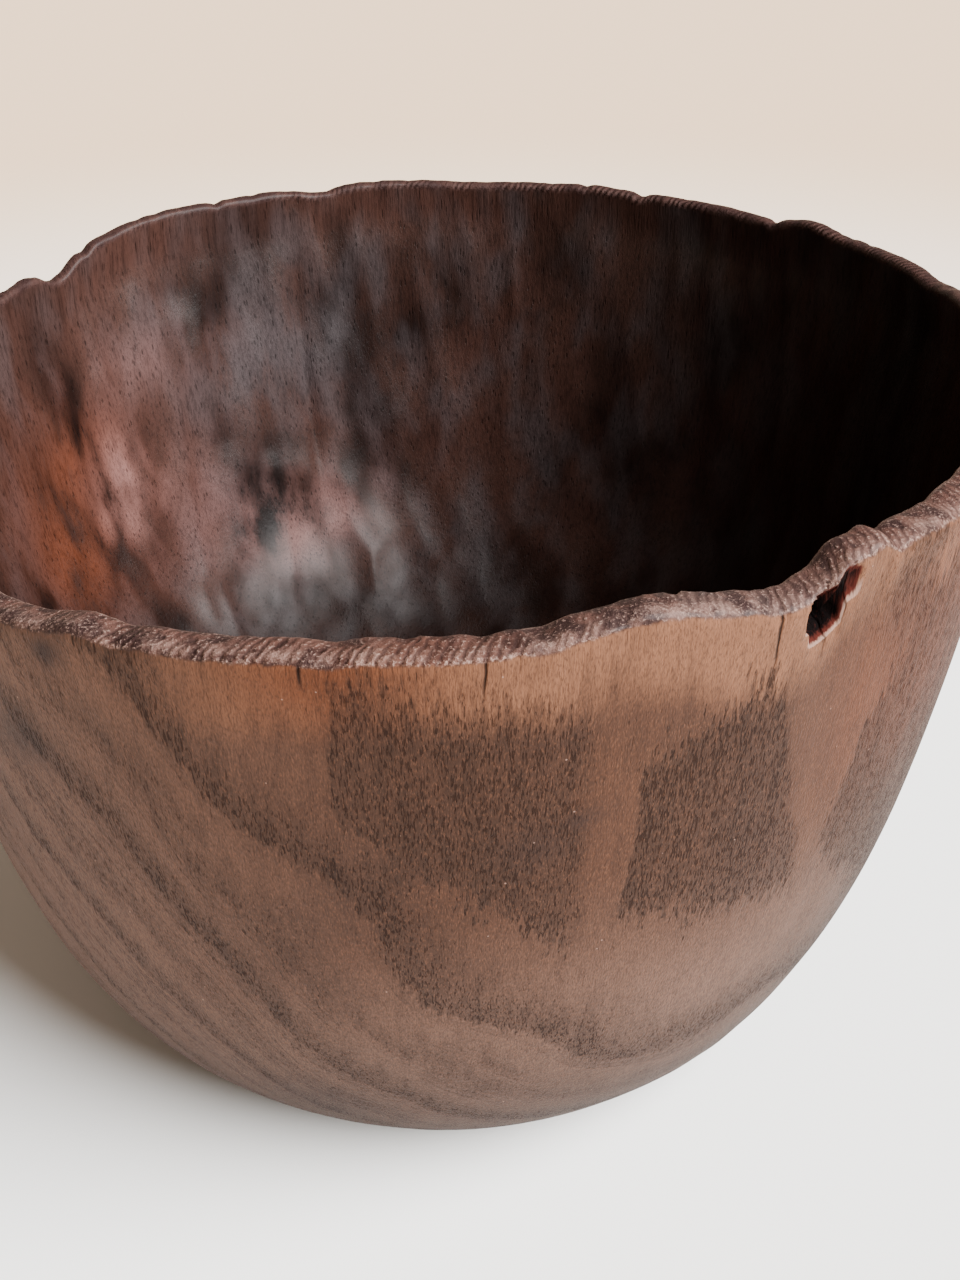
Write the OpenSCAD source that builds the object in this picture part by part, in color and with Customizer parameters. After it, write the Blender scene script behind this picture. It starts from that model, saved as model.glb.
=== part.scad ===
// A deep bowl carved by hand from one block of dark hardwood. It is not quite
// round, its rim rises and falls, its wall thickens towards the floor, and it
// stands on a small trimmed foot. The origin is on the table under the middle
// of the bowl, +Z is up, and the notched side of the rim faces -Y.

/* [Size] */
// Mean outer diameter across the rim
rim_d = 260; // [220:1:320]
// Mean height of the rim above the table
rim_h = 147; // [120:1:180]
// Mean diameter of the trimmed foot
foot_d = 120; // [90:1:140]

/* [Body curve] */
// How far the underside runs out from the foot before it turns up
belly_out = 38; // [25:1:50]
// How far the wall leans out over its upper part
wall_lean = 15; // [5:1:30]
// Height at which the wall starts to straighten
wall_start = 34; // [20:1:50]

/* [Wall] */
// Width of the rim at its thinnest
rim_thin = 4; // [3:0.1:6]
// Width of the rim at its widest
rim_wide = 8.5; // [6:0.1:12]
// Direction of the widest stretch of rim, in degrees from +X
rim_wide_at = 285; // [0:1:359]
// Thickness of the wall half way down
wall_t = 10; // [8:0.5:14]
// Thickness of the floor at its middle
floor_t = 15; // [10:0.5:22]
// Height of the rounded crest of the rim above its two edges
crest_h = 1; // [0.3:0.1:2]

/* [Out of round] */
// How much wider the bowl is front to back than side to side
oval = 6.7; // [0:0.1:10]
// Direction in which that oval is turned, in degrees
oval_turn = 86; // [0:1:179]
// How far the plan bulges in three directions, one of them the front
three_lobe = 0.9; // [0:0.1:6]

/* [Rim line] */
// Rise of the rim towards the high side
rim_tilt = 6.2; // [0:0.1:12]
// Direction of the high side, in degrees from +X
rim_tilt_at = 332; // [0:1:359]
// Rise and fall of the rim twice round
rim_saddle = 3.6; // [0:0.1:9]
// Direction of the two crests of that wave, in degrees
rim_saddle_at = 110; // [0:1:179]
// Rise and fall of the rim three times round
rim_ripple = 1.3; // [0:0.1:4]
// Direction of one crest of that ripple, in degrees
rim_ripple_at = 8; // [0:1:119]

/* [Notch] */
// Direction of the broken notch in the rim, in degrees from +X
notch_at = 299; // [0:1:359]
// Width of the notch along the rim
notch_w = 7; // [3:0.5:14]
// Depth of the notch below the rim
notch_depth = 7; // [2:0.5:12]
// How far the notch bites in from the outside
notch_in = 5.5; // [1:0.5:6]

/* [Hidden] */

// The rim line's local humps and dips: direction, half width in degrees, height
humps = [
    [244, 2.5, 1.4], [272, 4, -0.5], [284.5, 5, 2.3], [295.5, 5, -2.7],
    [304, 3, 1.4], [20, 4, -1.2], [43, 3.5, 1.6], [50, 4, -0.7], [73, 3, 0.7],
    [87, 5, -0.7], [106, 3, -1.7], [128, 8, 1.6], [142.5, 3.2, -4.2],
];

round_steps = 90;       // points round the bowl
out_steps = 20;         // rings up the outside
in_steps = 17;          // rings down the inside
trim = 1;               // wood below the table line that the foot cut takes off
rim_fade = 5;           // how quickly a hump fades down the wall, as a power
inner_start = 0.74;     // where the floor turns up inside, of the rim's radius
inner_lift = 0.13;      // how high that turn's upper end is, of the rim's height
wide_power = 2;         // how sharply the rim narrows away from its widest stretch

rim_r = rim_d / 2;
foot_r = foot_d / 2;

// A cubic curve through a and d, drawn towards b and c
function bez(a, b, c, d, u) =
    a * pow(1 - u, 3) + 3 * b * pow(1 - u, 2) * u
    + 3 * c * (1 - u) * u * u + d * pow(u, 3);

// The smallest turn between two directions, in degrees
function turn(a, b) = abs(((a - b) % 360 + 540) % 360 - 180);

// The plan's radius over its mean, in direction a
function plan(a) =
    1 + (oval * cos(2 * (a - oval_turn)) + three_lobe * sin(3 * a)) / rim_r;

function hump_sum(a) =
    [for (h = humps) h[2] * exp(-pow(turn(a, h[0]) / h[1], 2))]
    * [for (h = humps) 1];

function rim_wave(a) =
    rim_tilt * cos(a - rim_tilt_at) + rim_saddle * cos(2 * (a - rim_saddle_at))
    + rim_ripple * cos(3 * (a - rim_ripple_at));

// Lift of the wood in direction a at a share w of the rim's height
function lift(a, w) = rim_wave(a) * w + hump_sum(a) * pow(w, rim_fade);

function rim_width(a) =
    rim_thin + (rim_wide - rim_thin)
    * pow((1 + cos(a - rim_wide_at)) / 2, wide_power);

// The outside at a share u of the way from the foot to the rim
function out_r(a, u) =
    plan(a) * bez(foot_r, foot_r + belly_out, rim_r - wall_lean, rim_r, u);
function out_z(a, u) =
    let (z = bez(0, 0, wall_start, rim_h, u)) z + lift(a, z / rim_h);

// The inside at a share v of the way from the middle of the floor to the rim
function in_r(a, v) =
    plan(a) * bez(0, inner_start * rim_r, rim_r - wall_lean - wall_t, rim_r, v)
    - rim_width(a) * pow(v, 3);
function in_z(a, v) =
    let (z = bez(floor_t, floor_t, floor_t + inner_lift * rim_h, rim_h, v))
    z + lift(a, (z - floor_t) / (rim_h - floor_t));

function ring(r_of, z_of, share) =
    [for (i = [0 : round_steps - 1])
        let (a = 360 * i / round_steps)
        [r_of(a, share) * cos(a), r_of(a, share) * sin(a), z_of(a, share)]];

// The rings in order: below the foot, up the outside, over the crest, down
// the inside as far as the ring next to the middle of the floor
outside = [for (j = [0 : out_steps])
    ring(function (a, u) out_r(a, u), function (a, u) out_z(a, u), j / out_steps)];
inside = [for (j = [0 : in_steps - 1])
    ring(function (a, v) in_r(a, v), function (a, v) in_z(a, v), 1 - j / in_steps)];
sole = [for (p = outside[0]) [p.x, p.y, -trim]];
crest = [for (i = [0 : round_steps - 1])
    (outside[out_steps][i] + inside[0][i]) / 2 + [0, 0, crest_h]];
rings = concat([sole], outside, [crest], inside);

// The middle of the bowl's box in plan, which the origin stands under
function middle(values) = (min(values) + max(values)) / 2;
lip = outside[out_steps];
centre = [middle([for (p = lip) p.x]), middle([for (p = lip) p.y]), 0];

// A closed skin over the rings, with a point at the middle of each end
module skin(rings, low, high) {
    n = len(rings[0]);
    m = len(rings);
    points = concat([for (r = rings) each r], [low, high]);
    sides = [for (j = [0 : m - 2], i = [0 : n - 1])
        let (k = (i + 1) % n, a = j * n + i, b = j * n + k)
        each [[a, a + n, b], [b, a + n, b + n]]];
    ends = [for (i = [0 : n - 1])
        let (k = (i + 1) % n, top = (m - 1) * n)
        each [[i, k, m * n], [top + k, top + i, m * n + 1]]];
    polyhedron(points, concat(sides, ends));
}

// The broken place in the rim: a round-bottomed pit that opens outwards and up
module notch() {
    reach = 2 * rim_wide;
    rotate([0, 0, notch_at])
        translate([plan(notch_at) * rim_r - notch_in, 0,
                   out_z(notch_at, 1) - notch_depth + notch_w / 2])
            rotate([0, 90, 0])
                hull() {
                    cylinder(d = notch_w, h = reach, $fn = 24);
                    translate([-2 * notch_depth, 0, 0])
                        cylinder(d = 2 * notch_w, h = reach, $fn = 24);
                }
}

module bowl() {
    color([0.42, 0.27, 0.2])
        translate(-centre)
            difference() {
                skin(rings, [0, 0, -trim], [0, 0, floor_t]);
                translate([-rim_r, -rim_r, -2 * trim])
                    cube([rim_d, rim_d, 2 * trim]);
                notch();
            }
}

bowl();
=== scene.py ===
"""A deep carved wooden bowl on a pale floor, laid out as an add-on and run as a script."""
import math

import bpy
import numpy as np
from bpy.props import FloatProperty, FloatVectorProperty, IntProperty, PointerProperty
from mathutils import Matrix, Vector, noise


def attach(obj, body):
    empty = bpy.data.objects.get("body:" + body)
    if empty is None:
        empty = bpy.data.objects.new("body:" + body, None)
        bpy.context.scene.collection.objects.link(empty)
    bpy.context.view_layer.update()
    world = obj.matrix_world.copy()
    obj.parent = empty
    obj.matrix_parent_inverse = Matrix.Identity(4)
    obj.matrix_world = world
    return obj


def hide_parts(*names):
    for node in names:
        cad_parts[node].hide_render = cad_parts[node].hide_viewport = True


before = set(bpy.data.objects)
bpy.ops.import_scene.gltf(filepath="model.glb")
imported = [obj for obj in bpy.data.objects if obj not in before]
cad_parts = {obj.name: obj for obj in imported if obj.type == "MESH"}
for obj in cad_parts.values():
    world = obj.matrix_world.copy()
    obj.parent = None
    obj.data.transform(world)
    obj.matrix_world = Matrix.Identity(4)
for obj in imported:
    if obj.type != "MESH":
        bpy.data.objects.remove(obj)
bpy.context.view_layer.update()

bl_info = {
    "name": "Carved Bowl",
    "version": (1, 0, 0),
    "blender": (4, 5, 0),
    "location": "3D View > Sidebar > Bowl",
    "description": "Carves a deep hardwood bowl with a worn rim and sets it on a pale floor",
    "category": "Add Mesh",
}

MM = 0.001

# ---------------------------------------------------------------- the carved form

# Plan: an oval with a faint three-sided bulge, in millimetres and degrees from +X
OVAL = 6.7
OVAL_TURN = 86
THREE_LOBE = 0.9

# Rim line: a tilt, a saddle and a ripple, each an amplitude and a direction
RIM_TILT, RIM_TILT_AT = 6.2, 332
RIM_SADDLE, RIM_SADDLE_AT = 3.6, 110
RIM_RIPPLE, RIM_RIPPLE_AT = 1.3, 8

# Local humps and dips of the rim: direction, half width in degrees, height
RIM_HUMPS = [
    (244, 2.5, 1.4), (272, 4, -0.5), (284.5, 5, 2.3), (295.5, 5, -2.7),
    (304, 3, 1.4), (20, 4, -1.2), (43, 3.5, 1.6), (50, 4, -0.7), (73, 3, 0.7),
    (87, 5, -0.7), (106, 3, -1.7), (128, 8, 1.6), (142.5, 3.2, -4.2),
]
RIM_FADE = 5            # how quickly a hump fades down the wall, as a power

# Small bites and lumps along the rim's crest, too fine for the form above: direction,
# half width in degrees, height
RIM_BITES = [
    (119, 0.7, -0.8), (73.5, 0.6, -0.7), (66.5, 0.8, -1.0), (48.5, 0.7, -1.1),
    (138, 0.8, -0.9), (263, 1.2, -0.7), (250, 1.5, 0.5), (277.5, 1.0, -0.7),
    (292.5, 1.0, 0.6), (301.4, 1.5, 1.9), (304.4, 1.6, 1.3), (306.4, 0.8, -0.9),
    (309, 1.3, 0.6), (315, 1.2, -0.6), (345, 1.5, -0.7), (5, 1.4, 0.6),
    (160, 1.2, -0.7), (185, 1.6, -0.8), (205, 1.2, 0.6), (222, 1.0, -0.7),
    (233, 1.3, 0.6),
]

FLOOR_TURN = 0.74       # where the floor turns up inside, of the rim's radius
FLOOR_LIFT = 0.13       # height of that turn's upper end, of the rim's height
EDGE_ROUND = 2.0        # how far below the crest the rim's rounding starts
EDGE_SQUARE = 3.0       # 2 gives a round rim in section, more gives a squarer one
EDGE_CROWN = 0.06       # height of the crest above its two edges, of the rim's width
BITE_FADE = 14          # how quickly a bite or lump fades down the wall, as a power
FOOT_MIDDLE = 0.04      # the innermost ring of the foot, of the foot's radius

PIT_AT = 299            # direction of the broken pit in the rim
PIT_PUSH = (-0.75, -0.66)   # how the skin is pushed, out and up; below 0 is in or down
PIT_RAGGED = 0.16       # unevenness of the pit's surface, of its size
PIT_FULL = 2.5          # how far the skin is pushed where the pit counts as full

# The pit's two hollows: along the rim, in from the face and down from the rim, then
# three half sizes the same way, all in millimetres
PITS = [
    ((0.2, 0.8, 5.2), (4.9, 7.0, 5.0)),
    ((5.2, 0.0, 2.4), (3.8, 2.6, 5.4)),
]

# Gouge cuts all over: their width, which of the chance layouts, how blunt the ridges
# between them are, and their depth; they run longer up and down than across
INSIDE_CUTS = (12, 4, 0.05, 2.0)
OUTSIDE_CUTS = (16, 9, 0.10, 0.16)
CUT_RUN = 0.30

# Uneven swells and roughness: their size, which of the chance layouts, and their height
INSIDE_SWELL = (34, 1, 1.1)
OUTSIDE_SWELL = (42, 2, 0.55)
OUTSIDE_DRAG = (7, 3, 0.10)     # long shallow furrows up the outside
DRAG_RUN = 0.25
RIM_LUMPS = (3.4, 5, 0.30)
RIM_GRAIN = (1.7, 6, 0.18)

# Chips out of the rim: their size, layout, how few there are, and their depth
RIM_CHIPS = (4.5, 7, 0.18, 1.4)
CHIP_RUN = 0.5

# The roughest stretch of the rim: its direction, half width, and the roughness of
# the rest and of this stretch on top
RUGGED_AT, RUGGED_WIDTH = 288, 17
RUGGED_REST, RUGGED_MORE = 0.55, 0.75

# Single marks of the gouge inside: direction, height, half width, half height, depth
INSIDE_MARKS = [
    (127.5, 119.5, 4.5, 2.0, -0.7), (127.0, 125, 6, 3.5, 0.5),
    (110, 97, 1.7, 24, 1.0), (113, 97, 3.5, 24, -0.6),
    (82, 116, 1.4, 15, -0.6), (80.5, 105, 4.0, 2.0, 0.6), (80.5, 101, 4.5, 1.8, -0.4),
    (123.5, 85, 4.0, 2.0, 0.5), (118, 79, 4.5, 2.0, 0.5), (140.5, 111, 1.8, 1.5, -0.6),
]


def curve(a, b, c, d, share):
    """A cubic curve through a and d, drawn towards b and c."""
    rest = 1 - share
    return a * rest**3 + 3 * b * rest**2 * share + 3 * c * rest * share**2 + d * share**3


def apart(turn, direction):
    """The turn from a direction to each of some others, from -180 to 180 degrees."""
    return (turn - direction + 180) % 360 - 180


def cosd(degrees):
    return np.cos(np.radians(degrees))


def sind(degrees):
    return np.sin(np.radians(degrees))


def hills(turn, places):
    """Bell-shaped hills round the rim, from directions, half widths and heights."""
    total = np.zeros_like(turn)
    for direction, half_width, height in places:
        total += height * np.exp(-((apart(turn, direction) / half_width) ** 2))
    return total


def rim_wave(turn):
    return (RIM_TILT * cosd(turn - RIM_TILT_AT)
            + RIM_SADDLE * cosd(2 * (turn - RIM_SADDLE_AT))
            + RIM_RIPPLE * cosd(3 * (turn - RIM_RIPPLE_AT)))


def lift(turn, share):
    """Rise of the wood at a share of the rim's height."""
    return rim_wave(turn) * share + hills(turn, RIM_HUMPS) * share**RIM_FADE


class Form:
    """The bowl's section and plan, worked out in millimetres from its sizes."""

    def __init__(self, sizes):
        self.rim_r = sizes.rim_across / MM / 2
        self.rim_h = sizes.rim_height / MM
        self.foot_r = sizes.foot_across / MM / 2
        self.belly_out = sizes.belly_out / MM
        self.lean = sizes.wall_lean / MM
        self.wall_start = sizes.wall_start / MM
        self.wall = sizes.wall_thick / MM
        self.floor = sizes.floor_thick / MM
        self.thin = sizes.rim_thin / MM
        self.wide = sizes.rim_wide / MM
        self.wide_at = sizes.rim_wide_at
        lip = self.plan(np.arange(0, 360, 4.0)) * self.rim_r
        across = lip * cosd(np.arange(0, 360, 4.0))
        deep = lip * sind(np.arange(0, 360, 4.0))
        self.middle = np.array([(across.min() + across.max()) / 2,
                                (deep.min() + deep.max()) / 2, 0])

    def plan(self, turn):
        bulge = OVAL * cosd(2 * (turn - OVAL_TURN)) + THREE_LOBE * sind(3 * turn)
        return 1 + bulge / self.rim_r

    def rim_width(self, turn):
        near = (1 + cosd(turn - self.wide_at)) / 2
        return self.thin + (self.wide - self.thin) * near**2

    def outside(self, turn, share):
        radius = curve(self.foot_r, self.foot_r + self.belly_out,
                       self.rim_r - self.lean, self.rim_r, share)
        height = curve(0, 0, self.wall_start, self.rim_h, share)
        return self.plan(turn) * radius, height + lift(turn, height / self.rim_h)

    def inside(self, turn, share):
        radius = curve(0, FLOOR_TURN * self.rim_r,
                       self.rim_r - self.lean - self.wall, self.rim_r, share)
        height = curve(self.floor, self.floor,
                       self.floor + FLOOR_LIFT * self.rim_h, self.rim_h, share)
        radius = self.plan(turn) * radius - self.rim_width(turn) * share**3
        return radius, height + lift(turn, (height - self.floor) / (self.rim_h - self.floor))

    def rim_top(self, turn):
        return self.rim_h + lift(turn, 1.0) + hills(turn, RIM_BITES)


def round_the_bowl(count):
    """Directions round the bowl in degrees, closer together beside the pit."""
    fine = np.linspace(0, 360, 7201)
    density = 1 + 2.2 * np.exp(-((apart(fine, PIT_AT) / 4.5) ** 2))
    grown = np.concatenate([[0], np.cumsum((density[1:] + density[:-1]) / 2)])
    return np.interp(np.linspace(0, grown[-1], count + 1)[:-1], grown, fine)


def relief(points, size, seed):
    """Smooth random relief between about -1 and 1, for points in millimetres."""
    offset = Vector((seed * 17.3, seed * -9.1, seed * 5.7))
    flat = points.reshape(-1, 3) / size
    values = [noise.noise(Vector(p) + offset) for p in flat.tolist()]
    return np.array(values).reshape(points.shape[:-1])


def scoops(points, width, seed, blunt):
    """Depth of overlapping gouge cuts: 1 in the middle of a cut, 0 on a sharp ridge."""
    rng = np.random.default_rng(seed)
    flat = points.reshape(-1, 3)
    centres = np.empty((0, 3))
    for candidate in flat[rng.integers(0, len(flat), 6000)]:
        gaps = np.linalg.norm(centres - candidate, axis=1)
        if len(centres) == 0 or gaps.min() > width * 0.8:
            centres = np.vstack([centres, candidate])
    total = np.zeros(len(flat))
    for centre in centres:
        total += np.exp(-((flat - centre) ** 2).sum(axis=1) / (width**2 * blunt))
    nearest = -blunt * np.log(total + 1e-30)
    return (1 - np.clip(nearest, 0, 1)).reshape(points.shape[:-1])


class Sheet:
    """The bowl's skin as rings of points, with what the wood's finish needs to know."""

    def __init__(self, form, count):
        self.form = form
        self.turn = round_the_bowl(count)
        self.rings, self.below, self.inward, self.over, self.edge_in = [], [], [], [], []

    def add(self, radius, height, below, inward, over, edge_in):
        shape = np.zeros_like(self.turn)
        self.rings.append(np.stack([radius * cosd(self.turn), radius * sind(self.turn),
                                    height + shape], axis=-1))
        for store, value in ((self.below, below), (self.inward, inward),
                             (self.over, over), (self.edge_in, edge_in)):
            store.append(value + shape)

    def finish(self):
        self.points = np.array(self.rings)
        self.below, self.inward = np.array(self.below), np.array(self.inward)
        self.over, self.edge_in = np.array(self.over), np.array(self.edge_in)

    def normals(self):
        """The skin's outward direction at each point."""
        along = np.roll(self.points, -1, axis=1) - np.roll(self.points, 1, axis=1)
        up = np.gradient(self.points, axis=0)
        out = np.cross(along, up)
        return out / np.maximum(np.linalg.norm(out, axis=2, keepdims=True), 1e-9)


def lay_rings(form, count, wall_rings, rim_rings, inside_rings, foot_rings):
    """All rings in order: foot, outside, over the rim, and down the inside."""
    sheet = Sheet(form, count)
    turn = sheet.turn
    top = form.rim_top(turn)
    width = form.rim_width(turn)
    for share in np.linspace(FOOT_MIDDLE, 1, foot_rings, endpoint=False):
        sheet.add(form.plan(turn) * form.foot_r * share, 0, top, 0, -top, -top - width)
    for share in 1 - np.linspace(1, 0, wall_rings) ** 1.15:
        radius, height = form.outside(turn, share)
        height = height + (hills(turn, RIM_BITES) - EDGE_ROUND) * share**BITE_FADE
        drop = top - height
        sheet.add(radius, height, drop, 0, -drop, -drop - width)
    outer, base = form.outside(turn, 1.0)[0], top - EDGE_ROUND
    inner = form.inside(turn, 1.0)[0]
    for arc in np.linspace(0, math.pi, rim_rings + 2)[1:-1]:
        side = math.copysign(abs(math.cos(arc)) ** (2 / EDGE_SQUARE), math.cos(arc))
        up = math.sin(arc) ** (2 / EDGE_SQUARE)
        radius = (outer + inner) / 2 + side * (outer - inner) / 2
        height = base + (EDGE_ROUND + EDGE_CROWN * width) * up
        inward = 0.5 - side / 2
        over = width * inward - math.copysign(EDGE_ROUND * (1 - up), side)
        sheet.add(radius, height, top - height, inward, over, over - width)
    for share in np.linspace(1, 0, inside_rings + 1)[:-1] ** 0.92:
        radius, height = form.inside(turn, share)
        height = height + (hills(turn, RIM_BITES) - EDGE_ROUND) * share**BITE_FADE
        drop = top - height
        sheet.add(radius, height, drop, 1, width + drop, drop)
    sheet.finish()
    return sheet


def carve_marks(sheet):
    """Works the gouge cuts, swells, marks and worn edges into the skin."""
    points, form = sheet.points, sheet.form
    wall = np.clip((sheet.below - 2) / 8, 0, 1)
    standing = np.clip((points[..., 2] - 0.5) / 6, 0, 1)
    inside = (sheet.inward > 0.99) * wall
    outside = (sheet.inward < 0.01) * wall * standing
    rim = 1 - np.clip((sheet.below - 1.5) / 2.5, 0, 1)
    rim = rim * (RUGGED_REST + RUGGED_MORE
                 * np.exp(-((apart(sheet.turn, RUGGED_AT) / RUGGED_WIDTH) ** 2)))

    depth = np.zeros(points.shape[:2])
    for where, (width, seed, blunt, deep) in ((inside, INSIDE_CUTS), (outside, OUTSIDE_CUTS)):
        depth -= where * deep * scoops(points * [1, 1, CUT_RUN], width, seed, blunt)
    for where, (size, seed, high), run in (
            (inside, INSIDE_SWELL, 1), (outside, OUTSIDE_SWELL, 1),
            (outside, OUTSIDE_DRAG, DRAG_RUN), (rim, RIM_LUMPS, 1), (rim, RIM_GRAIN, 1)):
        depth += where * high * relief(points * [1, 1, run], size, seed)
    size, seed, least, deep = RIM_CHIPS
    chips = np.clip(relief(points * [1, 1, CHIP_RUN], size, seed) - least, 0, 1)
    depth -= rim * deep * chips
    for direction, height, half_width, half_height, cut in INSIDE_MARKS:
        along = np.radians(apart(sheet.turn, direction)) * form.rim_r * 0.9
        bell = np.exp(-((along / half_width) ** 2)
                      - ((points[..., 2] - height) / half_height) ** 2)
        depth -= (sheet.inward > 0.99) * cut * bell
    sheet.points = points + sheet.normals() * depth[..., None]


def break_pits(sheet):
    """Pushes the skin down and in to the far side of each pit beside the rim."""
    form = sheet.form
    sheet.pit = np.zeros(sheet.points.shape[:2])
    out = np.array([cosd(PIT_AT), sind(PIT_AT), 0])
    along = np.array([-sind(PIT_AT), cosd(PIT_AT), 0])
    face = form.outside(np.array([float(PIT_AT)]), 1.0)[0][0]
    top = form.rim_top(np.array([float(PIT_AT)]))[0]
    for (sideways, deep, down), (half_side, half_deep, half_down) in PITS:
        middle = out * (face - deep) + along * sideways + np.array([0, 0, top - down])
        gap = sheet.points - middle
        local = np.stack([gap @ along / half_side, gap @ out / half_deep,
                          gap[..., 2] / half_down], axis=-1)
        ragged = PIT_RAGGED * relief(sheet.points, 1.9, 8)
        heading = np.array([0, PIT_PUSH[0] / half_deep, PIT_PUSH[1] / half_down])
        a = (heading**2).sum()
        b = 2 * local @ heading
        c = (local**2).sum(axis=-1) - (1 + ragged) ** 2
        pushed = (c < 0) & (local[..., 1] > -1.2) & (sheet.edge_in < -0.6)
        root = np.sqrt(np.maximum(b**2 - 4 * a * c, 0))
        travel = np.where(pushed, (-b + root) / (2 * a), 0)
        push = PIT_PUSH[0] * out + [0, 0, PIT_PUSH[1]]
        sheet.points = sheet.points + travel[..., None] * push
        sheet.pit = np.maximum(sheet.pit, np.clip(travel / PIT_FULL, 0, 1))


def sheet_mesh(name, sheet):
    """A closed mesh over the rings, with a point at the middle of each end."""
    rings, count = sheet.points.shape[:2]
    low, high = [0, 0, 0], [0, 0, sheet.points[-1, :, 2].mean()]
    points = np.vstack([sheet.points.reshape(-1, 3), low, high]) - sheet.form.middle
    start = np.arange(rings - 1)[:, None] * count
    here = np.arange(count)[None, :]
    after = (here + 1) % count
    quads = np.stack([start + here, start + after, start + count + after,
                      start + count + here], axis=-1).reshape(-1, 4)
    ends = (rings - 1) * count
    fans = [(k, rings * count, (k + 1) % count) for k in range(count)]
    fans += [(ends + (k + 1) % count, rings * count + 1, ends + k) for k in range(count)]
    mesh = bpy.data.meshes.new(name)
    mesh.from_pydata((points * MM).tolist(), [], quads[:, ::-1].tolist() + fans)
    mesh.polygons.foreach_set("use_smooth", [True] * len(mesh.polygons))
    ends_of = {"below": (200.0, 200.0), "inward": (0.0, 1.0), "over": (-200.0, 200.0),
               "edge_in": (-200.0, 200.0), "pit": (0.0, 0.0)}
    for label, (at_low, at_high) in ends_of.items():
        values = np.append(getattr(sheet, label).reshape(-1), [at_low, at_high])
        mesh.attributes.new(label, "FLOAT", "POINT").data.foreach_set("value", values)
    mesh.update()
    return mesh


# ---------------------------------------------------------------- shader tools

class Wire:
    """A value in a shader that takes part in Python arithmetic."""

    def __init__(self, paint, socket):
        self.paint, self.socket = paint, socket

    def __add__(self, other):
        return self.paint.math("ADD", self, other)

    def __radd__(self, other):
        return self.paint.math("ADD", other, self)

    def __sub__(self, other):
        return self.paint.math("SUBTRACT", self, other)

    def __rsub__(self, other):
        return self.paint.math("SUBTRACT", other, self)

    def __mul__(self, other):
        return self.paint.math("MULTIPLY", self, other)

    def __rmul__(self, other):
        return self.paint.math("MULTIPLY", other, self)

    def __truediv__(self, other):
        return self.paint.math("DIVIDE", self, other)

    def __rtruediv__(self, other):
        return self.paint.math("DIVIDE", other, self)

    def __pow__(self, other):
        return self.paint.math("POWER", self, other)

    def __rpow__(self, other):
        return self.paint.math("POWER", other, self)


class Paint:
    """Builds the node tree of one material, or of the room's light."""

    def __init__(self, owner):
        self.owner = owner
        owner.use_nodes = True
        self.tree = owner.node_tree
        self.tree.nodes.clear()

    def feed(self, socket, value):
        if isinstance(value, Wire):
            self.tree.links.new(value.socket, socket)
        else:
            socket.default_value = value

    def node(self, kind, settings=None, inputs=None, output=0):
        """Adds a node: its settings first, then its sockets' values or links."""
        made = self.tree.nodes.new(kind)
        for name, value in (settings or {}).items():
            setattr(made, name, value)
        for name, value in (inputs or {}).items():
            self.feed(made.inputs[name], value)
        return Wire(self, made.outputs[output]) if made.outputs else None

    def math(self, operation, *values):
        return self.node("ShaderNodeMath", {"operation": operation},
                         dict(enumerate(values)))

    def vector(self, operation, *values, output=0):
        return self.node("ShaderNodeVectorMath", {"operation": operation},
                         dict(enumerate(values)), output)

    def split(self, vector):
        """The three parts of a vector."""
        return [self.node("ShaderNodeSeparateXYZ", None, {0: vector}, axis)
                for axis in range(3)]

    def mix(self, share, first, second):
        """Colours: the first where share is 0, the second where it is 1."""
        colours = [c if isinstance(c, Wire) else (*c, 1) for c in (first, second)]
        return self.node("ShaderNodeMix", {"data_type": "RGBA", "clamp_factor": True},
                         {0: share, 6: colours[0], 7: colours[1]}, 2)

    def blend(self, share, first, second):
        """Numbers: the first where share is 0, the second where it is 1."""
        return self.node("ShaderNodeMix", {"data_type": "FLOAT", "clamp_factor": True},
                         {0: share, 2: first, 3: second})

    def step(self, value, low, high):
        """0 below low and 1 above high, smooth between; low may be the higher one."""
        return self.node("ShaderNodeMapRange", {"interpolation_type": "SMOOTHSTEP"},
                         {"Value": value, "From Min": low, "From Max": high})

    def attribute(self, name):
        return self.node("ShaderNodeAttribute", {"attribute_name": name}, output=2)

    def noise(self, vector, size, detail=2.0, rough=0.5, output=0):
        return self.node("ShaderNodeTexNoise", None,
                         {"Vector": vector, "Scale": 1 / size, "Detail": detail,
                          "Roughness": rough}, output)

    def cells(self, vector, size):
        """Distance from the middle of the nearest of many scattered cells."""
        return self.node("ShaderNodeTexVoronoi", None, {"Vector": vector, "Scale": 1 / size})

    def bell(self, value, middle, half_width):
        """1 at the middle, falling away smoothly to both sides."""
        away = (value - middle) / half_width
        return self.math("EXPONENT", away * away * -1.0)

    def most(self, values):
        """The greatest of several values."""
        greatest, *rest = values
        for value in rest:
            greatest = self.math("MAXIMUM", greatest, value)
        return greatest

    def shader(self, **inputs):
        named = {name.replace("_", " "): value for name, value in inputs.items()}
        made = self.node("ShaderNodeBsdfPrincipled", None, named)
        self.node("ShaderNodeOutputMaterial", None, {"Surface": made})
        return self.owner


# ---------------------------------------------------------------- the wood

# Growth rings: the pith's place at mid height and its lean, and the rings' spacing
PITH = (-24.0, 16.0)
PITH_LEAN = (0.22, -0.07)
MID_HEIGHT = 80.0
RING_START = 145.3
RING_WIDTH = 2.3

# The strongest rings: how far outside the first one they start, how far out they
# fade, and their darkness
RINGS = [(-4.4, 3.6, 1.0), (-8.6, 2.6, 0.6), (-13.2, 4.2, 0.95), (-17.5, 2.6, 0.6),
         (-22.4, 3.8, 0.85), (-27.5, 3.0, 0.6), (-34, 4.5, 0.8), (-41, 3.5, 0.6),
         (7.0, 3.0, 0.7), (13.0, 4.0, 0.8)]

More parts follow.
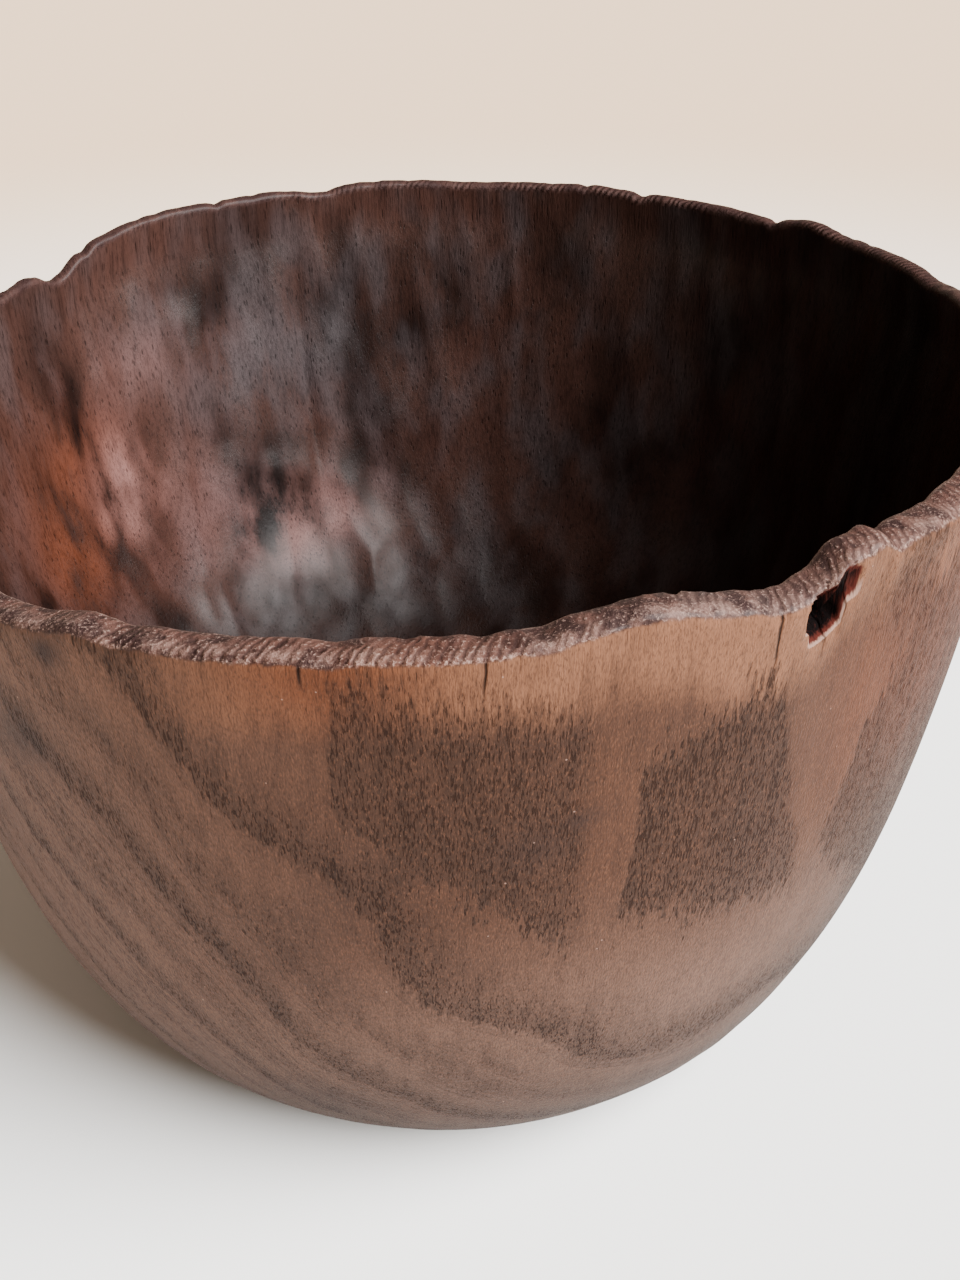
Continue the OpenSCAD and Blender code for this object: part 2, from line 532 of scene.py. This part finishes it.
# Dark porous patches of figure on the outside. Each has a strength and its edges; an
# edge has two ends, in degrees right of the front and millimetres below the rim, and
# a softness in millimetres. Walking from the first end, the patch is on the right.
PATCHES = [
    (0.88, [((-7.5, 60), (-7.5, 0), 1.4), ((9.5, 70), (-3.5, 44), 2.0),
           ((10.8, 0), (10.8, 80), 8), ((-8, 4), (13, 14), 10)]),
    (1.0, [((14.8, 66), (14.4, 33), 1.0), ((14.4, 33), (24.5, 14), 2.2),
           ((25.8, 14), (33.5, 74), 3.5), ((33, 76), (14.8, 65), 4.0)]),
    (0.95, [((35.5, 69), (38.3, 39), 1.4), ((38.3, 39), (47, 10), 2.5),
            ((66, 10), (66, 70), 12), ((56, 108), (35.5, 69), 3.0)]),
    (0.8, [((96, 70), (92, 20), 1.4), ((92, 20), (112, 8), 3.0),
           ((118, 5), (122, 80), 8), ((120, 84), (96, 68), 3.0)]),
    (0.8, [((-96, 80), (-100, 25), 1.4), ((-100, 25), (-84, 6), 3.0),
           ((-78, 5), (-74, 90), 9), ((-74, 92), (-96, 78), 3.0)]),
    (0.8, [((166, 90), (160, 30), 1.4), ((160, 30), (172, 12), 3.0),
           ((180, 5), (184, 90), 9), ((184, 98), (166, 86), 3.0)]),
]
WALL_PER_DEGREE = 2.27  # millimetres of wall for one degree round the bowl

# Dark stains on the outside: degrees right of the front, millimetres below the rim,
# half width in millimetres, half height and strength
STAINS = [
    (-29, 4.5, 4.0, 3.5, 0.75), (10.5, 39, 4.0, 2.2, 0.45), (26.5, 13, 1.3, 3.5, 0.55),
    (-36, 28, 9.0, 7.0, 0.55), (7.0, 42, 7.0, 5.0, 0.30), (-14, 120, 14, 9, 0.35),
    (150, 30, 12, 9, 0.4), (-120, 60, 10, 16, 0.35), (95, 20, 8, 6, 0.4),
]

# Patches of colour inside: the colour, degrees right of the front, height in
# millimetres, half width in degrees, half height in millimetres, and strength. The
# orange patches are bare wood, the grey one a painted sheen and the pale ones painted
# highlights
INSIDE_TINTS = [
    ("inside_sheen_grey", -152, 104, 18, 20, 0.7), ("inside_orange", -121, 84, 17, 27, 0.7),
    ("inside_orange", -124, 93, 6, 13, 0.8), ("inside_orange", -117, 72, 7, 11, 0.8),
    ("inside_painted_highlight", -128.5, 83, 5.5, 13, 0.95), ("inside_painted_highlight", -137, 112, 12, 10, 0.25),
    ("inside_painted_highlight", -155, 58, 10, 9, 1.0), ("inside_painted_highlight", -150, 68, 20, 15, 0.3),
]

# Hairline cracks down from the rim: degrees right of the front and length
CRACKS = [(3.2, 9.5), (24.7, 15), (-9.0, 6), (29.6, 17), (31.2, 14), (-52, 12), (120, 18)]

RIM_GROOVES = 470.0     # slanting tool marks across the rim, counted round the bowl
DEGREES = 180 / math.pi

# The coat of oil: its roughness, and its weight outside, inside, low inside, on the
# rim and in the pit; and the dry wood's own gloss
COAT_ROUGHNESS = 0.30
SHINE_OUTSIDE, SHINE_INSIDE, SHINE_LOW, SHINE_RIM, SHINE_PIT = 0.0, 0.15, 0.03, 0.09, 0.0
GLOSS = 0.04


class WoodCoordinates:
    """Places on the wood that every layer of the finish shares, in millimetres."""

    def __init__(self, paint):
        object_place = paint.node("ShaderNodeTexCoord", output=3)
        self.place = paint.node("ShaderNodeVectorMath", {"operation": "SCALE"},
                                {0: object_place, "Scale": 1 / MM})
        self.x, self.y, self.z = paint.split(self.place)
        self.front = paint.math("ARCTAN2", self.x, self.y * -1.0)
        self.front_degrees = self.front * DEGREES
        self.below = paint.attribute("below")
        self.inward = paint.attribute("inward")
        self.over = paint.attribute("over")
        self.edge_in = paint.attribute("edge_in")
        self.pit = paint.attribute("pit")

    def stretched(self, paint, across, along):
        """The place, squeezed along the grain so that textures run up the tree."""
        return paint.vector("MULTIPLY", self.place, (1 / across, 1 / across, 1 / along))


def ring_bands(paint, at):
    """How dark and porous the wood is along its growth rings."""
    drift = paint.vector("SUBTRACT", paint.noise(at.place, 46, 1.5, output=1), (0.5, 0.5, 0.5))
    shift = paint.vector("MULTIPLY", drift, (6.0, 6.0, 14.0))
    x, y, z = paint.split(paint.vector("ADD", at.place, shift))
    rise = z - MID_HEIGHT
    gap_x = x - PITH[0] - rise * PITH_LEAN[0]
    gap_y = y - PITH[1] - rise * PITH_LEAN[1]
    reach = paint.math("SQRT", gap_x * gap_x + gap_y * gap_y) - RING_START
    ragged = paint.noise(at.stretched(paint, 0.8, 10), 1, 2.0) - 0.5

    # faint rings of uneven width everywhere, fainter still over the plain stretch
    uneven = paint.node("ShaderNodeTexNoise", {"noise_dimensions": "1D"},
                        {"W": reach / 5.0, "Detail": 1.0})
    part = paint.math("FRACT", reach / RING_WIDTH + ragged * 0.6 + uneven * 2.2)
    fine = (1 - part) ** 1.6 * paint.step(part, 0.0, 0.08)
    strength = paint.step(paint.noise(at.place, 24, 2.0), 0.34, 0.62)
    plain = paint.step(reach, -3.0, -0.5) * paint.step(at.front_degrees, -30, -14)
    faint = fine * (strength * 0.6 + 0.22) * (1 - plain * 0.85)

    # the strongest rings, each with a crisp inner edge and a soft outer one
    strong = []
    for start, fade, darkness in RINGS:
        gap = reach - start + ragged * 1.6
        strong.append(paint.step(gap, -0.2, 0.5) * paint.step(gap, fade, 0.4) * darkness)
    return paint.most([faint, *strong])


def figure_patches(paint, at):
    """1 in each dark patch, with edges serrated by the run of the pores."""
    fibre = paint.noise(at.stretched(paint, 0.7, 12), 1, 2.0) - 0.5
    swing = paint.noise(at.place, 13, 1.0) - 0.5
    across = at.front_degrees * WALL_PER_DEGREE + swing * 5 + fibre * 2
    down = at.below + fibre * 30 + swing * -14
    patches = []
    for patch, edges in PATCHES:
        for (x0, y0), (x1, y1), soft in edges:
            x0, x1 = x0 * WALL_PER_DEGREE, x1 * WALL_PER_DEGREE
            reach = math.hypot(x1 - x0, y1 - y0)
            gap = ((down - y0) * ((x1 - x0) / reach)
                   - (across - x0) * ((y1 - y0) / reach))
            patch = paint.step(gap, -soft / 2, soft / 2) * patch
        patches.append(patch)
    return paint.most(patches)


def open_pores(paint, at, porous, broad):
    """Open pores: short dashes, crowded where the wood is porous, and a few long ones."""
    dashes = paint.noise(at.stretched(paint, 0.33, 5.6), 1, 1.5, 0.55)
    least = paint.blend(porous, 0.69, 0.535) - (broad - 0.5) * 0.14
    short = paint.step(dashes, least, least + 0.055) * (porous * 0.4 + 0.5)
    cells = paint.cells(at.stretched(paint, 0.80, 9), 1)
    long = paint.step(cells, 0.26, 0.12) * paint.step(porous, 0.35, 0.8)
    return paint.most([short, long * 0.8])


def stains(paint, at):
    """1 in the middle of each dark stain on the outside."""
    return paint.most([paint.bell(at.front_degrees, right, half_width / WALL_PER_DEGREE)
                       * paint.bell(at.below, down, half_height) * strength
                       for right, down, half_width, half_height, strength in STAINS])


def cracks(paint, at):
    """1 along each hairline crack, fading towards its lower end."""
    wander = (paint.noise(at.stretched(paint, 5, 9), 1, 2.0) - 0.5) * 0.9
    return paint.most([paint.bell(at.front_degrees + wander, right, 0.10)
                       * paint.step(at.below, reach, reach * 0.4)
                       for right, reach in CRACKS])


def outside_wood(paint, at, colours):
    """Colour, roughness, relief and shine of the outside."""
    dark, tan = colours.outside_dark, colours.collar_tan
    right = at.front_degrees
    fibre = paint.noise(at.stretched(paint, 0.40, 14), 1, 3.0, 0.6)
    broad = paint.noise(at.stretched(paint, 2.4, 40), 1, 2.0)
    speck = paint.noise(at.stretched(paint, 0.26, 1.0), 1, 1.0)
    blotch = paint.noise(at.place, 36, 2.0)
    cloud = paint.noise(at.place, 70, 1.0)
    porous = paint.most([ring_bands(paint, at), figure_patches(paint, at)])
    pores = open_pores(paint, at, porous, broad)

    # smooth wood, with a painted grey sheen of reflected floor light at the left and low
    # down, painted shade underneath and at the lower right, and a painted rosy sheen at right
    colour = paint.mix(paint.step(blotch, 0.35, 0.65), colours.outside_light,
                       colours.outside_warm)
    # painted grey sheen: the floor's reflected light at the left and low down
    painted_grey_sheen = paint.most([paint.step(right * -1.0, -4, 40) * 0.8,
                          paint.step(at.below, 50, 115)])
    colour = paint.mix(painted_grey_sheen * (cloud * 0.6 + 0.6), colour, colours.outside_sheen_grey)
    # painted shade: darker underneath, where the wall turns away from the light
    colour = paint.mix(paint.step(at.below, 75, 145) * 0.78, colour, dark)
    # painted shade: darker where the wall tucks under at the lower right
    painted_tucked_shade = paint.step(right, 24, 56) * paint.step(at.below, 55, 105)
    colour = paint.mix(painted_tucked_shade * 0.60, colour, dark)
    # painted sheen: rosier where the window's light glances off the right side
    painted_pink_sheen = paint.step(right, 26, 52) * paint.step(at.below, 80, 30)
    colour = paint.mix(painted_pink_sheen * 0.8, colour, colours.outside_sheen_pink)

    # the pale collar under the rim, with its most orange stretch at the front
    wavy = at.below + (cloud - 0.5) * 20 + (blotch - 0.5) * 14 + (broad - 0.5) * 8
    facing = ((paint.step(right, -24, -8) * 0.75 + 0.25)
              * (1 - paint.step(right, 35, 50) * 0.5))
    colour = paint.mix(paint.step(wavy, 19, 4) * facing * 0.85, colour, tan)
    glow = paint.bell(right, -7, 7) * paint.step(at.below, 20, 3)
    colour = paint.mix(glow * 0.8, colour, colours.collar_orange)

    # grain: broad streaks, porous bands and patches, fibres, specks and open pores
    colour = paint.mix(paint.step(broad, 0.40, 0.75) * 0.22, colour, dark)
    colour = paint.mix(porous * (broad * 0.5 + 0.31), colour, dark)
    colour = paint.mix(paint.step(fibre, 0.40, 0.75) * 0.34, colour, dark)
    colour = paint.mix(paint.step(speck, 0.48, 0.72) * 0.42, colour, dark)
    colour = paint.mix(paint.step(speck, 0.46, 0.26) * 0.25, colour, tan)
    colour = paint.mix(pores * 0.62, colour, colours.pore_dark)
    bright = paint.step(paint.cells(at.place, 6.5), 0.036, 0.018)
    colour = paint.mix(bright * 0.6, colour, colours.rim_pale)

    # stains and cracks
    stain = stains(paint, at) * paint.step(blotch + (fibre - 0.5) * 0.4, 0.25, 0.55)
    colour = paint.mix(stain, colour, colours.stain_dark)
    crack = cracks(paint, at)
    colour = paint.mix(crack * 0.9, colour, colours.pore_dark)

    drawn = paint.vector("MULTIPLY", at.place, (1 / 14, 1 / 14, 1 / 1.1))
    ripple = paint.noise(drawn, 1, 1.0)
    height = (pores * -0.14 + porous * -0.05 + crack * -0.5 + (fibre - 0.5) * 0.14
              + (speck - 0.5) * 0.10 + (ripple - 0.5) * 0.06)
    rough = paint.blend(pores, 0.56, 0.78) + (fibre - 0.5) * 0.18
    return colour, rough, height, SHINE_OUTSIDE


def inside_wood(paint, at, colours):
    """Colour, roughness, relief and shine of the oiled, darkened inside."""
    black = colours.inside_black
    cloud = paint.noise(at.stretched(paint, 26, 44), 1, 3.0)
    drift = paint.noise(at.stretched(paint, 11, 30), 1, 2.0)
    streak = paint.noise(at.stretched(paint, 0.9, 26), 1, 3.0, 0.6)
    speck = paint.noise(at.stretched(paint, 0.35, 2.4), 1, 2.0, 0.6)
    pores = paint.step(paint.cells(at.stretched(paint, 1.1, 9), 1), 0.24, 0.10)

    # clouds of brown and a painted grey sheen, then the patches of colour, some painted
    # highlights
    colour = paint.mix(paint.step(cloud, 0.28, 0.62) * 0.9 + 0.1, black, colours.inside_brown)
    colour = paint.mix(paint.step(drift, 0.40, 0.70) * 0.6, colour, colours.inside_sheen_grey)
    broken = paint.step(drift * 0.6 + cloud * 0.2 + streak * 0.2, 0.36, 0.60)
    # the pale patches are painted highlights and the grey one a painted sheen
    for name, right, up, half_width, half_height, strength in INSIDE_TINTS:
        spot = (paint.bell(at.front_degrees, right, half_width)
                * paint.bell(at.z, up, half_height) * broken)
        colour = paint.mix(spot * strength, colour, getattr(colours, name))

    # browner near the rim at the left; painted shade at the right and low down
    near_rim = paint.step(at.below, 30, 3) * paint.step(at.x, 20, -90)
    colour = paint.mix(near_rim * 0.22, colour, colours.rim_brown)
    # painted shade: the right of the inside faces away from the light
    colour = paint.mix(paint.step(at.x, -15, 80) * 0.28, colour, black)
    # painted shade: darker low down, where the front wall shades the inside; the coat is thinner
    # there too
    low = paint.step(at.z + (drift - 0.5) * 24, 50, 34)
    colour = paint.mix(low * 0.45, colour, black)

    # streaks, specks and open pores
    colour = paint.mix(paint.step(streak, 0.42, 0.75) * 0.45, colour, black)
    colour = paint.mix(paint.step(speck, 0.50, 0.70) * 0.40, colour, black)
    colour = paint.mix(pores * 0.5, colour, black)
    height = ((streak - 0.5) * 0.20 + (speck - 0.5) * 0.16 + pores * -0.12
              + (drift - 0.5) * 0.30)
    rough = 0.40 + (cloud - 0.5) * 0.30 + (speck - 0.5) * 0.30
    return colour, rough, height, SHINE_INSIDE - low * (SHINE_INSIDE - SHINE_LOW)


def rim_wood(paint, at, colours):
    """Colour, roughness, relief and shine of the rim's end grain and worn edges."""
    dark, pale = colours.rim_dark, colours.rim_pale
    front = paint.step(at.y, 45, -50)
    grain = paint.noise(at.place, 0.55, 3.0, 0.65)
    lumps = paint.noise(at.place, 3.6, 2.0)
    wide = paint.noise(at.place, 11, 2.0)
    slant = at.front * RIM_GROOVES - at.over * 1.3 + (lumps - 0.5) * 9.0
    groove = paint.math("SINE", slant) * 0.5 + 0.5
    groove = groove * (paint.step(wide, 0.38, 0.56) * 0.75 + 0.25)

    # dark and brown end grain, ruddy at the front and greyer to the right of it
    colour = paint.mix(paint.step(lumps * 0.6 + wide * 0.4, 0.40, 0.58), dark,
                       colours.rim_brown)
    tinted = paint.step(wide, 0.35, 0.55)
    ruddy = paint.bell(at.front_degrees, -2, 9) * tinted
    colour = paint.mix(ruddy * 0.22, colour, colours.collar_orange)
    greyed = paint.bell(at.front_degrees, 20, 9) * tinted
    colour = paint.mix(greyed * 0.4, colour, colours.rim_grey)

    # a rubbed band along the outer part, crossed by the slanting tool marks, with painted glints
    rubbed = paint.bell(at.over, 1.0, 1.9) * paint.step(grain * 0.5 + lumps * 0.5, 0.38, 0.62)
    colour = paint.mix(rubbed * (front * 0.34), colour, pale)
    colour = paint.mix(paint.step(groove, 0.4, 1.0) * 0.62, colour, dark)
    # painted highlight: glints on the grain at the front of the rim
    glint = paint.step(grain, 0.55, 0.66) * paint.step(groove, 0.8, 0.3)
    colour = paint.mix(glint * (wide * (front + 0.15)), colour, pale)

    # pale lines along both edges, strongest at the front: partly wear, partly painted highlight
    patchy = paint.step(wide, 0.42, 0.58)
    inner_line = paint.bell(at.edge_in, -0.1, 0.7) * (patchy * 0.6 + 0.4)
    outer_line = paint.bell(at.over, -0.7, 0.5) * paint.step(grain, 0.45, 0.60) * patchy
    # real wear mixed with painted highlight: the lines are kept to the front, where the light
    # catches them
    wear_and_highlight = paint.most([inner_line, outer_line * 0.7]) * (front * 0.85 + 0.15)
    colour = paint.mix(wear_and_highlight * 0.75, colour, pale)
    colour = paint.mix((1 - front) * 0.72, colour, dark)
    height = groove * -0.24 + (grain - 0.5) * 0.40 + (lumps - 0.5) * 0.4
    rough = 0.54 + (grain - 0.5) * 0.4
    return colour, rough, height, SHINE_RIM


def carved_hardwood(colours):
    """One block of oiled hardwood: outside, rim, inside and the broken pit. Resin reddens the
    pit's sides; its black bottom is painted shade.
    """
    paint = Paint(bpy.data.materials.new("carved hardwood"))
    at = WoodCoordinates(paint)

    def over(share, under, top):
        return (paint.mix(share, under[0], top[0]),
                *(paint.blend(share, a, b) for a, b in zip(under[1:], top[1:])))

    wood = over(paint.step(at.inward, 0.45, 0.95), outside_wood(paint, at, colours),
                inside_wood(paint, at, colours))
    ragged = (paint.noise(at.place, 2.2, 2.0) - 0.5) * 2.4
    rim = (paint.step(at.over + ragged * 0.5, -1.5, -0.7)
           * paint.step(at.edge_in + ragged * 0.6, 2.2, 0.4))
    colour, rough, height, shine = over(rim, wood, rim_wood(paint, at, colours))

    # the broken pit: a pale torn lip, then red sides and a black bottom. Resin colours the sides;
    # the black bottom is painted shade deep in the hole
    torn = paint.noise(at.stretched(paint, 0.5, 4), 1, 2.0) - 0.5
    lip = paint.step(at.pit + torn * 0.1, 0.02, 0.07) * paint.step(at.over, -4, -7)
    colour = paint.mix(lip * 0.55, colour, colours.rim_pale)
    pit = paint.step(at.pit + torn * 0.4, 0.18, 0.42)
    # the black is painted shade at the bottom of the hole
    resin_and_pit_shade = paint.mix(paint.step(at.pit + torn, 0.45, 0.95), colours.pit_red,
                      colours.pit_black)
    colour = paint.mix(pit, colour, resin_and_pit_shade)
    rough = paint.blend(pit, rough, 0.92)
    shine = paint.blend(pit, shine, SHINE_PIT)

    bump = paint.node("ShaderNodeBump", None,
                      {"Strength": 1.0, "Distance": MM, "Height": height})
    return paint.shader(Base_Color=colour, Roughness=rough, Normal=bump, Coat_Weight=shine,
                        Coat_Roughness=COAT_ROUGHNESS, Specular_IOR_Level=GLOSS)


# ---------------------------------------------------------------- settings

def length(name, size, description):
    return FloatProperty(name=name, description=description, default=size * MM,
                         min=0.0, unit="LENGTH", precision=4)


def tint(name, red, green, blue, description):
    return FloatVectorProperty(name=name, description=description, subtype="COLOR",
                               size=3, min=0.0, max=1.0, default=(red, green, blue))


class BowlSizes(bpy.types.PropertyGroup):
    """Sizes of the carved form."""
    rim_across: length("Rim diameter", 260, "Mean outer diameter across the rim")
    rim_height: length("Rim height", 147, "Mean height of the rim above the table")
    foot_across: length("Foot diameter", 120, "Mean diameter of the trimmed foot")
    belly_out: length("Belly run", 38, "Run of the underside before it turns up")
    wall_lean: length("Wall lean", 15, "How far the upper wall leans out")
    wall_start: length("Wall start", 34, "Height at which the wall starts to straighten")
    wall_thick: length("Wall", 10, "Thickness of the wall half way down")
    floor_thick: length("Floor", 15, "Thickness of the floor at its middle")
    rim_thin: length("Rim at its thinnest", 4, "Width of the rim at its thinnest")
    rim_wide: length("Rim at its widest", 8.5, "Width of the rim at its widest")
    rim_wide_at: FloatProperty(name="Widest at", default=285.0,
                               description="Direction of the widest rim, in degrees")
    round_steps: IntProperty(name="Steps round", default=720, min=90,
                             description="Points in each ring of the mesh")


class WoodColours(bpy.types.PropertyGroup):
    """Colours of the wood's parts."""
    outside_light: tint("Outside, light", 0.0490, 0.0240, 0.0158, "Smooth late wood outside")
    outside_warm: tint("Outside, warm", 0.0540, 0.0252, 0.0155, "Warmer late wood outside")
    # also used for the painted shade underneath and at the lower right
    outside_dark: tint("Outside, dark", 0.0205, 0.0120, 0.0092, "Porous early wood")
    # a grey sheen painted at the left and low down, standing for the floor's reflected light
    outside_sheen_grey: tint("Outside, grey", 0.124, 0.071, 0.0520, "Grey sheen painted at the left and low down")
    # a rosy sheen painted at the right, standing for the window's light glancing off
    outside_sheen_pink: tint("Outside, pink", 0.125, 0.0380, 0.0185, "Rosy sheen painted at the right side")
    collar_tan: tint("Tan collar", 0.155, 0.071, 0.040, "Bare lighter wood under the rim")
    collar_orange: tint("Orange collar", 0.078, 0.023, 0.009, "Most saturated wood of the collar")
    pore_dark: tint("Pores", 0.006, 0.003, 0.0025, "Dirt and oil in open pores and cracks")
    stain_dark: tint("Stains", 0.014, 0.0105, 0.0105, "Grey-black stains")
    rim_dark: tint("Rim, dark", 0.022, 0.0108, 0.0100, "Oiled end grain on the rim")
    rim_brown: tint("Rim, brown", 0.074, 0.035, 0.0275, "Rubbed end grain on the rim")
    rim_grey: tint("Rim, grey", 0.060, 0.046, 0.043, "Weathered grey wood on the rim")
    # pale wood from wear, also used for painted glints and highlights on the rim
    rim_pale: tint("Rim, worn", 0.26, 0.17, 0.14, "Worn bright edges and painted highlights of the rim")
    # also used for the painted shade at the right of the inside and low down
    inside_black: tint("Inside, black", 0.002, 0.0009, 0.0008, "Darkest oiled wood inside")
    inside_brown: tint("Inside, brown", 0.027, 0.0115, 0.0085, "Brown oiled wood inside")
    # a grey sheen painted inside, standing for the sky's reflected light
    inside_sheen_grey: tint("Inside, grey", 0.031, 0.0250, 0.026, "Grey sheen painted inside")
    inside_orange: tint("Inside, orange", 0.072, 0.0180, 0.0066, "Bare orange wood inside")
    # a rosy highlight painted inside, standing for the light's reflection
    inside_painted_highlight: tint("Inside, highlight", 0.150, 0.073, 0.064, "Rosy highlight painted inside")
    pit_red: tint("Pit, red", 0.040, 0.0085, 0.006, "Resin on the sides of the broken pit")
    # painted shade at the bottom of the broken pit
    pit_black: tint("Pit, black", 0.002, 0.001, 0.001, "Bottom of the broken pit")


class StageSettings(bpy.types.PropertyGroup):
    """Floor, light and camera."""
    floor_near: tint("Floor, near", 0.90, 0.895, 0.875, "The floor round the bowl")
    floor_far: tint("Floor, far", 0.66, 0.47, 0.31, "The floor in the distance")
    sky: tint("Room light", 1.0, 0.78, 0.60, "Colour of the soft light all round")
    sky_strength: FloatProperty(name="Room light strength", default=0.27, min=0.0,
                                description="Strength of the soft light all round")
    walls: tint("Pale walls", 1.0, 0.79, 0.60, "Colour of the room's pale walls")
    wall_strength: FloatProperty(name="Pale walls' strength", default=1.3, min=0.1,
                                 description="Brightness of the room's pale walls")
    key_strength: FloatProperty(name="Key strength", default=18.0, min=0.0,
                                description="Strength of the large soft light")
    key_angle: FloatProperty(name="Key spread", default=math.radians(50), subtype="ANGLE",
                             description="Apparent size of the large soft light")
    key_turn: FloatProperty(name="Key direction", default=-29.0,
                            description="Degrees from +X that the large soft light comes from")
    key_height: FloatProperty(name="Key height", default=39.0,
                              description="Degrees above the floor of the large soft light")
    lens: FloatProperty(name="Lens", default=52.0, min=10.0,
                        description="Focal length in millimetres on a 36 mm sensor")
    pitch: FloatProperty(name="Pitch", default=30.5,
                         description="How far the camera looks down, in degrees")
    roll: FloatProperty(name="Roll", default=-0.7,
                        description="How far the camera is turned about its view, in degrees")
    distance: FloatProperty(name="Camera distance", default=0.4394, unit="LENGTH",
                            description="From the camera to the point it looks at")


FLOOR_HALF = 9.0                # half the floor's side, in metres
FLOOR_TURNS = (0.20, 0.75)      # from the bowl to where the floor's colour has turned
WALL_EDGE = (0.34, 0.05)        # sines of the heights where the walls end and where they are full
AIM = (7.0, 0, 75.4)            # what the camera looks at, in millimetres from the middle


# ---------------------------------------------------------------- operators

class BOWL_OT_carve(bpy.types.Operator):
    """Carve the bowl, give it its wood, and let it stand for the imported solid"""
    bl_idname = "bowl.carve"
    bl_label = "Carve Bowl"

    def execute(self, context):
        form = Form(context.scene.bowl_sizes)
        sheet = lay_rings(form, context.scene.bowl_sizes.round_steps,
                          wall_rings=64, rim_rings=14, inside_rings=70, foot_rings=4)
        carve_marks(sheet)
        break_pits(sheet)
        mesh = sheet_mesh("carved_bowl", sheet)
        bowl = bpy.data.objects.new("carved_bowl", mesh)
        context.scene.collection.objects.link(bowl)
        mesh.materials.append(carved_hardwood(context.scene.wood_colours))
        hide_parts("bowl")
        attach(bowl, "root")
        return {"FINISHED"}


class BOWL_OT_stage(bpy.types.Operator):
    """Set the pale floor, the soft light and the camera"""
    bl_idname = "bowl.stage"
    bl_label = "Set Stage"

    def execute(self, context):
        settings = context.scene.stage_settings
        self.floor(settings)
        self.light(context.scene, settings)
        self.camera(context.scene, settings)
        return {"FINISHED"}

    def floor(self, settings):
        mesh = bpy.data.meshes.new("floor")
        corners = [(x * FLOOR_HALF, y * FLOOR_HALF, 0)
                   for x, y in ((-1, -1), (1, -1), (1, 1), (-1, 1))]
        mesh.from_pydata(corners, [], [(0, 1, 2, 3)])
        floor = bpy.data.objects.new("floor", mesh)
        bpy.context.scene.collection.objects.link(floor)
        paint = Paint(bpy.data.materials.new("pale floor"))
        place = paint.node("ShaderNodeTexCoord", output=3)
        reach = paint.vector("LENGTH", place, output=1)
        far = paint.step(reach, *FLOOR_TURNS)
        colour = paint.mix(far, settings.floor_near, settings.floor_far)
        mesh.materials.append(paint.shader(Base_Color=colour, Roughness=0.8,
                                           Specular_IOR_Level=0.2))

    def light(self, scene, settings):
        world = bpy.data.worlds.new("room")
        paint = Paint(world)
        heading = paint.node("ShaderNodeTexCoord", output=0)
        rise = paint.split(heading)[2]
        above = Vector(settings.sky) * (settings.sky_strength / settings.wall_strength)
        colour = paint.mix(paint.step(rise, *WALL_EDGE), above, settings.walls)
        back = paint.node("ShaderNodeBackground", None,
                          {"Color": colour, "Strength": settings.wall_strength})
        paint.node("ShaderNodeOutputWorld", None, {"Surface": back})
        scene.world = world
        key = bpy.data.lights.new("key", "SUN")
        key.energy = settings.key_strength
        key.angle = settings.key_angle
        lamp = bpy.data.objects.new("key", key)
        turn, rise = settings.key_turn, settings.key_height
        lamp.location = (cosd(rise) * cosd(turn), cosd(rise) * sind(turn), sind(rise))
        lamp.rotation_euler = (-lamp.location).to_track_quat("-Z", "Y").to_euler()
        scene.collection.objects.link(lamp)

    def camera(self, scene, settings):
        lens = bpy.data.cameras.new("camera")
        lens.lens = settings.lens
        lens.sensor_width = 36.0
        camera = bpy.data.objects.new("camera", lens)
        pitch, roll = math.radians(settings.pitch), math.radians(settings.roll)
        ahead = Vector((0, math.cos(pitch), -math.sin(pitch)))
        level = Vector((1, 0, 0))
        upright = level.cross(ahead)
        right = math.cos(roll) * level + math.sin(roll) * upright
        up = math.cos(roll) * upright - math.sin(roll) * level
        form = Form(scene.bowl_sizes)
        aim = (Vector(AIM) - Vector(form.middle)) * MM
        turned = Matrix((right, up, -ahead)).transposed().to_4x4()
        camera.matrix_world = Matrix.Translation(aim - ahead * settings.distance) @ turned
        scene.collection.objects.link(camera)
        scene.camera = camera


class BOWL_PT_panel(bpy.types.Panel):
    """Lists the bowl's operators and settings"""
    bl_idname = "BOWL_PT_panel"
    bl_label = "Carved Bowl"
    bl_space_type = "VIEW_3D"
    bl_region_type = "UI"
    bl_category = "Bowl"

    def draw(self, context):
        column = self.layout.column()
        for operator in (BOWL_OT_carve, BOWL_OT_stage):
            column.operator(operator.bl_idname)
        for group in ("bowl_sizes", "wood_colours", "stage_settings"):
            box = self.layout.box()
            settings = getattr(context.scene, group)
            for name in settings.bl_rna.properties.keys():
                if name not in {"rna_type", "name"}:
                    box.prop(settings, name)


CLASSES = (BowlSizes, WoodColours, StageSettings, BOWL_OT_carve, BOWL_OT_stage, BOWL_PT_panel)


def register():
    for cls in CLASSES:
        bpy.utils.register_class(cls)
    bpy.types.Scene.bowl_sizes = PointerProperty(type=BowlSizes)
    bpy.types.Scene.wood_colours = PointerProperty(type=WoodColours)
    bpy.types.Scene.stage_settings = PointerProperty(type=StageSettings)


def unregister():
    del bpy.types.Scene.stage_settings
    del bpy.types.Scene.wood_colours
    del bpy.types.Scene.bowl_sizes
    for cls in reversed(CLASSES):
        bpy.utils.unregister_class(cls)


def main():
    register()
    bpy.ops.bowl.carve()
    bpy.ops.bowl.stage()


if __name__ == "__main__":
    main()
